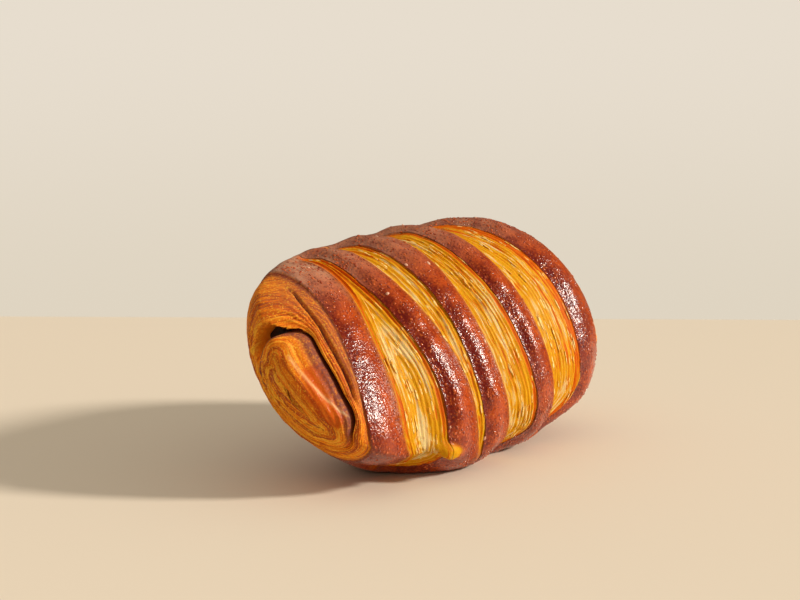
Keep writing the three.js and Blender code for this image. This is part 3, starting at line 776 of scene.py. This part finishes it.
def baked_dough():
    mat = Shades("baked dough")
    (crust, band, near_lip, ends, layers, purple, browned, pale, hollow, painted_crevice_shade, baked, painted_sheen, glazed,
     proud) = (mat.attribute(name) for name in MARKS)
    blotch, speckle, spots, fleck = (
        mat.noise(size, detail) for size, detail in ((4.5, 4), (0.9, 3), (0.6, 2), (0.45, 3)))
    streak, thread = mat.drawn_noise(1.4, 0.09, 3), mat.drawn_noise(3.2, 0.22, 2)

    reach = mat.total(band, (glazed, -0.3))
    warm = mat.ramp(mat.total(blotch, (speckle, 0.4)), 0.6, 0.8)
    warm = mat.product(warm, mat.ramp(reach, -0.05, 0.3, 0.2, 0.9))
    # Dark red on each band's left, partly painted shade on the flank from the light; pink right
    # border, a painted sheen.
    washed = mat.coats(
        CRUST_RED_SHADE,
        (mat.ramp(reach, -0.1, 0.45), CRUST_BROWN),
        (warm, CRUST_WARM),
        (mat.ramp(mat.total(band, (blotch, 0.4)), 0.95, 1.25, 0.0, 0.8), CRUST_PINK_SHEEN),
        # The greyish painted sheen on the top of the crust.
        (mat.product(painted_sheen, mat.ramp(blotch, 0.3, 0.62, 0.35, 0.8)), CRUST_PAINTED_SHEEN),
        (mat.ramp(spots, 0.56, 0.7, 0.0, 0.65), CRUST_DARK),
        (mat.ramp(spots, 0.44, 0.3, 0.0, 0.55), CRUST_AMBER))

    off_edge = mat.math("ABSOLUTE", mat.math("SUBTRACT", mat.math("FRACT", layers), 0.62))
    layer_number = mat.math("FLOOR", layers)
    sort = mat.add("ShaderNodeTexWhiteNoise", {"noise_dimensions": "1D"}, W=layer_number)
    sort = sort.outputs["Value"]
    broken = mat.ramp(streak, 0.3, 0.6)
    line = mat.product(
        mat.ramp(off_edge, 0.0, 0.2, 1.0, 0.0), mat.ramp(sort, 0.0, 1.0, 0.35, 1.0), broken)
    vein = mat.math("ABSOLUTE", mat.math("SUBTRACT", mat.drawn_noise(0.85, 0.06, 1), 0.5))
    vein = mat.product(mat.ramp(vein, 0.0, 0.035, 1.0, 0.0), mat.ramp(thread, 0.4, 0.6))

    layered = mat.product(mat.math("SUBTRACT", sort, 0.5), mat.ramp(near_lip, 0.3, 0.7, 0.3, 1.6))
    # Tone goes orange towards the lip, partly browning and partly painted shade; the sheen mask
    # adds more near the top.
    tone = mat.total(
        layered, (streak, 1.7), (thread, 1.6), (mat.drawn_noise(0.22, 0.05, 2), 2.6),
        # Proud edges painted paler and grooves orange, partly baked colour and partly painted light
        # and shade.
        (near_lip, 1.0), (proud, -0.6), (painted_sheen, 0.7), (mat.ramp(near_lip, 0.72, 1.0), 0.4),
        # The deepest grooves get a painted orange shade.
        (mat.ramp(proud, -0.38, -0.75), 1.3))
    torn_line = mat.math("MAXIMUM", mat.product(line, 0.55), mat.product(vein, 0.7))
    torn = mat.coats(
        TORN_CREAM,
        (mat.ramp(tone, 2.8, 3.4), TORN_GOLD),
        (mat.ramp(tone, 3.9, 4.6), TORN_ORANGE),
        (mat.product(torn_line, mat.ramp(near_lip, 0.1, 0.7, 0.4, 1.0)), LINE_BROWN))

    drawn = mat.drawn_noise(2.4, 0.06, 3)
    # Ridges of the end painted paler and grooves browner, partly baked colour and partly painted
    # light and shade.
    end_tone = mat.total(mat.product(sort, 0.7), (drawn, 1.3), (thread, 1.2), (proud, -0.3))
    flap = mat.total(browned, (mat.math("ADD", speckle, thread), 0.45))
    end = mat.coats(
        END_GOLD,
        (mat.ramp(end_tone, 1.2, 1.55), END_ORANGE),
        (mat.ramp(end_tone, 1.6, 2.0), END_BROWN),
        # Browner towards the top of each end and paler low down: painted light from the floor.
        (mat.product(baked, 0.4), END_BROWN),
        (mat.product(line, 0.7), END_VEIN),
        (mat.product(mat.ramp(sort, 0.4, 0.7), mat.ramp(drawn, 0.45, 0.6, 0.0, 0.5)), EDGE_PURPLE),
        (mat.ramp(fleck, 0.52, 0.66, 0.0, 0.45), END_BROWN),
        (mat.ramp(fleck, 0.46, 0.34, 0.0, 0.6), END_GOLD),
        (mat.product(vein, 0.6), END_VEIN),
        (mat.ramp(flap, 0.75, 1.3, 0.0, 0.8), END_FLAP),
        (hollow, HOLLOW_ORANGE),
        (mat.product(purple, mat.ramp(speckle, 0.3, 0.6, 0.5, 0.95)), EDGE_PURPLE),
        # A pale line along the flap's edge: partly its thin dough, partly a painted highlight.
        (mat.product(pale, broken), END_PALE),
        # Painted shade in the crevice round the coil.
        (mat.product(painted_crevice_shade, 0.9), CREVICE_PAINTED_SHADE))

    shiny = mat.math("MAXIMUM", crust, mat.product(browned, ends, 0.2))
    # The painted sheen mask also thins the coat.
    coat = mat.product(
        mat.ramp(shiny, 0, 1), mat.ramp(band, 0.5, 0.85, 1.0, 0.15),
        mat.ramp(painted_sheen, 0.3, 1.0, 1.0, 0.35))
    soft = mat.product(
        mat.ramp(crust, 0, 1, LIGHT_IN_DOUGH["torn"], 0.0),
        mat.ramp(ends, 0, 1, 1.0, LIGHT_IN_DOUGH["ends"]))
    grain = mat.total(
        mat.product(mat.noise(0.75, 2), mat.ramp(shiny, 0, 1, 0.35, 1.0)),
        (mat.noise(0.4, 1), 0.35), (thread, mat.ramp(crust, 0, 1, 0.5, 0.0)))
    bump = mat.add("ShaderNodeBump", Height=grain, Strength=1.0, Distance=BUMP_HEIGHT).outputs[0]
    return mat.finish(
        Base_Color=mat.coats(torn, (ends, end), (crust, washed)),
        Roughness=mat.ramp(shiny, 0, 1, TORN_ROUGHNESS, CRUST_ROUGHNESS),
        Specular_IOR_Level=DOUGH_SPECULAR, Coat_Weight=coat, Coat_Roughness=COAT_ROUGHNESS,
        Subsurface_Weight=soft, Subsurface_Radius=LIGHT_IN_DOUGH["radius"],
        Subsurface_Scale=LIGHT_IN_DOUGH["scale"], Normal=bump, Coat_Normal=bump)


dough.data.materials.append(baked_dough())
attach(dough, "root")
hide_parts("croissant")

# ---- Blisters, bubbles and flakes ----
# Steam raises tiny blisters all over the washed crust, and a few larger bubbles, painted pale,
# partly as painted glints. In the cuts the torn sheets of dough leave thin flakes and threads that
# run with the layers.
BLISTERS = {
    "apart": 0.55, "density": 1.1e6,
    "length": 0.34, "width": 0.30, "height": 0.15, "seed": 3,
}
BUBBLES = {
    "apart": 5.0, "density": 5e3,
    "length": 0.5, "width": 0.42, "height": 0.3, "seed": 11,
}
FLAKES = {
    "apart": 0.8, "density": 5e5,
    "length": 1.5, "width": 0.24, "height": 0.07, "seed": 5,
}
SMALLEST = (0.5, 0.6, 0.6)
LARGEST = (1.5, 1.4, 1.2)
DOME = {"Segments": 8, "Rings": 4}
SEEN = {"over": (8, 26), "under": (212, 196), "off_table": (1.0, 2.5)}
BLISTER_AMBER = (204, 92, 26)
BUBBLE_PALE_GLINT = (220, 168, 140)
FLAKE_CREAM = (240, 208, 132)
FLAKE_GOLD = (228, 160, 44)


def scatter_tree(name):
    """Flattened domes on a surface: as many as an attribute asks for, turned along the layers."""
    tree = bpy.data.node_groups.new(name, "GeometryNodeTree")
    asked = [("Surface", "Geometry"), ("Seed", "Int"), ("Material", "Material")]
    asked += [(size, "Float") for size in ("Apart", "Density", "Length", "Width", "Height")]
    for socket_name, kind in asked:
        tree.interface.new_socket(socket_name, in_out="INPUT", socket_type="NodeSocket" + kind)
    tree.interface.new_socket("Shapes", in_out="OUTPUT", socket_type="NodeSocketGeometry")
    nodes = Nodes(tree)
    given = nodes.add("NodeGroupInput").outputs
    share = nodes.add("GeometryNodeInputNamedAttribute", Name=name)
    flow = nodes.add("GeometryNodeInputNamedAttribute", {"data_type": "FLOAT_VECTOR"}, Name="flow")
    spread = nodes.add(
        "GeometryNodeDistributePointsOnFaces", {"distribute_method": "POISSON"},
        Mesh=given["Surface"], Distance_Min=given["Apart"], Density_Max=given["Density"],
        Density_Factor=share.outputs["Attribute"], Seed=given["Seed"])
    upright = nodes.add(
        "FunctionNodeAlignRotationToVector", {"axis": "Z"}, Vector=spread.outputs["Normal"])
    drawn = nodes.add(
        "FunctionNodeAlignRotationToVector", {"axis": "X", "pivot_axis": "Z"},
        Rotation=upright.outputs[0], Vector=flow.outputs["Attribute"])
    uneven = nodes.add(
        "FunctionNodeRandomValue", {"data_type": "FLOAT_VECTOR"},
        _0=SMALLEST, _1=LARGEST, _8=given["Seed"])
    size = nodes.add("ShaderNodeCombineXYZ", X=given["Length"], Y=given["Width"], Z=given["Height"])
    scale = nodes.add(
        "ShaderNodeVectorMath", {"operation": "MULTIPLY"}, _0=size.outputs[0], _1=uneven.outputs[0])
    dome = nodes.add("GeometryNodeMeshUVSphere", **DOME)
    smooth = nodes.add("GeometryNodeSetShadeSmooth", _0=dome.outputs["Mesh"])
    copies = nodes.add(
        "GeometryNodeInstanceOnPoints", Points=spread.outputs["Points"], Instance=smooth.outputs[0],
        Rotation=drawn.outputs[0], Scale=scale.outputs[0])
    real = nodes.add("GeometryNodeRealizeInstances", _0=copies.outputs[0])
    painted = nodes.add(
        "GeometryNodeSetMaterial", Geometry=real.outputs[0], Material=given["Material"])
    nodes.add("NodeGroupOutput", Shapes=painted.outputs[0])
    return tree


def scatter(name, sizes, material):
    """The scattered shapes as one plain mesh of their own."""
    tree = scatter_tree(name)
    surface = bpy.data.objects.new(name, dough.data.copy())
    bpy.context.collection.objects.link(surface)
    spread = surface.modifiers.new(name, "NODES")
    spread.node_group = tree
    lengths = ("apart", "length", "width", "height")
    values = {key.capitalize(): sizes[key] * MM for key in lengths}
    values.update({"Density": sizes["density"], "Seed": sizes["seed"], "Material": material})
    for socket in tree.interface.items_tree:
        if socket.in_out == "INPUT" and socket.name in values:
            spread[socket.identifier] = values[socket.name]
    depsgraph = bpy.context.evaluated_depsgraph_get()
    mesh = bpy.data.meshes.new_from_object(
        surface.evaluated_get(depsgraph), preserve_all_data_layers=True, depsgraph=depsgraph)
    surface.modifiers.clear()
    mesh.materials.clear()
    mesh.materials.append(material)
    mesh.polygons.foreach_set("material_index", np.zeros(len(mesh.polygons), dtype=np.int32))
    surface.data = mesh
    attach(surface, "root")


def glazed_blister():
    mat = Shades("glazed blister")
    colour = mat.coats(CRUST_BROWN, (mat.ramp(mat.noise(2.2, 2), 0.4, 0.65), BLISTER_AMBER))
    return mat.finish(Base_Color=colour, Roughness=0.35, Coat_Weight=0.8, Coat_Roughness=0.12)


def pale_bubble():
    # Their pale colour is partly a painted glint.
    return Shades("pale bubble").finish(Base_Color=paint(BUBBLE_PALE_GLINT), Roughness=0.3)


def dough_flake():
    mat = Shades("dough flake")
    colour = mat.coats(FLAKE_CREAM, (mat.ramp(mat.noise(1.4, 2), 0.42, 0.6), FLAKE_GOLD))
    return mat.finish(Base_Color=colour, Roughness=0.5, Specular_IOR_Level=0.15)


seen = ease(*SEEN["over"], TURN) * ease(*SEEN["under"], TURN)
seen = seen * ease(*SEEN["off_table"], points[..., 2])
washed_share = np.clip(marks["crust"], 0, 1) ** 4 * seen
torn_share = (1 - marks["crust"]) * (1 - marks["ends"]) * ease(0.02, 0.2, marks["near_lip"]) * seen
keep("blisters", washed_share * mix(0.15, 1, ease(-0.25, 0.45, lumps(base, 5.0, 21.0))))
keep("bubbles", washed_share)
keep("flakes", torn_share * ease(-0.1, 0.5, lumps(base, 4.0, 33.0)))
scatter("blisters", BLISTERS, glazed_blister())
scatter("bubbles", BUBBLES, pale_bubble())
scatter("flakes", FLAKES, dough_flake())

# ---- The stick of chocolate ----
# A bar of dark baking chocolate with softened corners lies along the roll. Its ends, dull from the
# oven, stand at the bottom of the hollow beside each coil.
STICK = {
    "across": 10.8, "rise": 4.9, "half_across": 2.3, "half_rise": 2.9, "corner": 1.1,
    "showing": 1.6,
}
STICK_SOFTENED = {"by": 0.16, "reach": 0.35}
STICK_LUMPS = {"height": 0.12, "size": 1.6}
POCKET = {"across": 11.5, "rise": 5.8, "depth": 7.0}
STICK_COLUMNS = 48
STICK_RINGS = 60
STICK_DARK = (22, 10, 7)
STICK_DUSTY = (44, 26, 18)


def stick_outline():
    """The rounded rectangle of its section, as offsets across and up."""
    w, h, c = (STICK[k] for k in ("half_across", "half_rise", "corner"))
    turns = np.arange(STICK_COLUMNS) * 2 * math.pi / STICK_COLUMNS
    corner_across = np.sign(np.cos(turns + 1e-9)) * (w - c)
    corner_rise = np.sign(np.sin(turns + 1e-9)) * (h - c)
    return corner_across + c * np.cos(turns), corner_rise + c * np.sin(turns)


def stick_end(side):
    """Where the stick ends, a little out from the bottom of the hollow."""
    mouth = end_place(POCKET["across"], POCKET["rise"], side) * HALF_LENGTH
    return float(mouth - side * POCKET["depth"]) + side * STICK["showing"]


outline_across, outline_rise = stick_outline()
stick_start, stick_stop = stick_end(-1), stick_end(1)
stick_rings = []
for i in range(STICK_RINGS):
    x = mix(stick_start, stick_stop, (1 - math.cos(math.pi * (i / (STICK_RINGS - 1)))) / 2)
    from_end = min(x - stick_start, stick_stop - x)
    softened = 1 - STICK_SOFTENED["by"] * math.exp(-from_end / STICK_SOFTENED["reach"])
    ring_across = STICK["across"] + softened * outline_across
    stick_rings.append(place(x, ring_across, STICK["rise"] + softened * outline_rise))
stick_rings = np.array(stick_rings)
uneven = STICK_LUMPS["height"] * lumps(stick_rings, STICK_LUMPS["size"], 2.0)
stick_rings += uneven[..., None] * CREST
stick_points = stick_rings.reshape(-1, 3) * MM + offset
at, sides = ring_faces(STICK_RINGS, STICK_COLUMNS)
caps = [at[0][::-1].tolist(), at[-1].tolist()]
stick = new_piece("chocolate_stick", stick_points.tolist(), sides + caps)
stick.data.shade_smooth()


def baked_chocolate():
    mat = Shades("baked chocolate")
    bump = mat.add("ShaderNodeBump", Height=mat.noise(0.4, 3), Strength=0.5, Distance=0.2 * MM)
    return mat.finish(
        Base_Color=mat.coats(STICK_DARK, (mat.ramp(mat.noise(1.2, 4), 0.45, 0.75), STICK_DUSTY)),
        Roughness=mat.ramp(mat.noise(0.8, 2), 0.3, 0.7, 0.45, 0.65), Specular_IOR_Level=0.2,
        Normal=bump.outputs[0])


stick.data.materials.append(baked_chocolate())
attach(stick, "root")
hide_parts("chocolate_baton")

# ---- The floor, the light and the camera ----
# The pastry lies on a plain pale table top, whose far edge shows behind it. A broad warm light
# stands low on its right, a little in front, and the pale room fills its shadows. The camera looks
# past its near end along the cuts.
FLOOR_COLOUR = (222, 210, 192)
FLOOR_WIDTH = 3.0
FLOOR_BEYOND = 0.225
FLOOR_BEFORE = 1.2
WALL_HIGH = (231, 221, 206)
WALL_LOW = (223, 212, 193)
WALL_RISE = (-0.17, 0.05)
ROOM_BRIGHT = (240, 230, 212)
ROOM_DIM = (170, 156, 140)
ROOM_STRENGTH = 0.8
ROOM_MIRRORED = 0.12
ROOM_BRIGHT_TOWARDS = (0.5, 0.1, 0.85)
ROOM_SPREAD = (-0.5, 0.8)
KEY_TOWARDS = Vector((0.52, -0.72, 0.46))
KEY_SPREAD = math.radians(8)
KEY_STRENGTH = 3.6
KEY_COLOUR = (1.0, 0.92, 0.82)
CAMERA_PLACE = (-0.29277, -0.24149, 0.09914)
CAMERA_TURN = math.radians(-49.5)
CAMERA_PITCH = math.radians(-8.57)
CAMERA_ROLL = math.radians(0.25)
CAMERA_LENS = 63.0
CAMERA_SENSOR = 36.0

ahead = Vector((-math.sin(CAMERA_TURN), math.cos(CAMERA_TURN), 0))
aside = Vector((math.cos(CAMERA_TURN), math.sin(CAMERA_TURN), 0))
corners = []
for out, along in ((-1, -FLOOR_BEFORE), (1, -FLOOR_BEFORE), (1, FLOOR_BEYOND), (-1, FLOOR_BEYOND)):
    corners.append(out * FLOOR_WIDTH / 2 * aside + along * ahead)
floor = new_piece("floor", corners, [(0, 1, 2, 3)])
floor_paint = Shades("pale floor").finish(Base_Color=paint(FLOOR_COLOUR), Roughness=0.7)
floor.data.materials.append(floor_paint)

world = bpy.data.worlds.new("room")
world.use_nodes = True
room = Nodes(world.node_tree)


def room_shade(towards, spread, dim, bright):
    """A colour of the room that brightens smoothly towards one direction."""
    direction = room.add("ShaderNodeTexCoord").outputs["Generated"]
    facing = room.add(
        "ShaderNodeVectorMath", {"operation": "DOT_PRODUCT"},
        _0=direction, _1=Vector(towards).normalized())
    return room.coats(dim, (room.ramp(facing.outputs["Value"], *spread), bright))


ray = room.add("ShaderNodeLightPath").outputs
glow = room.tree.nodes["Background"]
room.set(glow, "Color", room_shade(ROOM_BRIGHT_TOWARDS, ROOM_SPREAD, ROOM_DIM, ROOM_BRIGHT))
room.set(glow, "Strength", room.ramp(ray["Is Glossy Ray"], 0, 1, ROOM_STRENGTH, ROOM_MIRRORED))
wall = room.add("ShaderNodeBackground", Color=room_shade((0, 0, 1), WALL_RISE, WALL_LOW, WALL_HIGH))
either = room.add(
    "ShaderNodeMixShader", _0=ray["Is Camera Ray"], _1=glow.outputs[0], _2=wall.outputs[0])
room.set(room.tree.nodes["World Output"], "Surface", either.outputs[0])
bpy.context.scene.world = world

key_light = bpy.data.lights.new("key", "SUN")
key_light.angle = KEY_SPREAD
key_light.energy = KEY_STRENGTH
key_light.color = KEY_COLOUR
key = bpy.data.objects.new("key", key_light)
key.location = KEY_TOWARDS
key.rotation_euler = KEY_TOWARDS.to_track_quat("Z", "Y").to_euler()
bpy.context.collection.objects.link(key)

camera_data = bpy.data.cameras.new("camera")
camera_data.lens = CAMERA_LENS
camera_data.sensor_width = CAMERA_SENSOR
camera = bpy.data.objects.new("camera", camera_data)
turned, pitched, rolled = (
    Matrix.Rotation(angle, 4, axis)
    for angle, axis in ((CAMERA_TURN, "Z"), (math.pi / 2 + CAMERA_PITCH, "X"), (CAMERA_ROLL, "Z")))
camera.matrix_world = Matrix.Translation(CAMERA_PLACE) @ turned @ pitched @ rolled
bpy.context.collection.objects.link(camera)
bpy.context.scene.camera = camera
bpy.context.scene.view_settings.view_transform = "Standard"
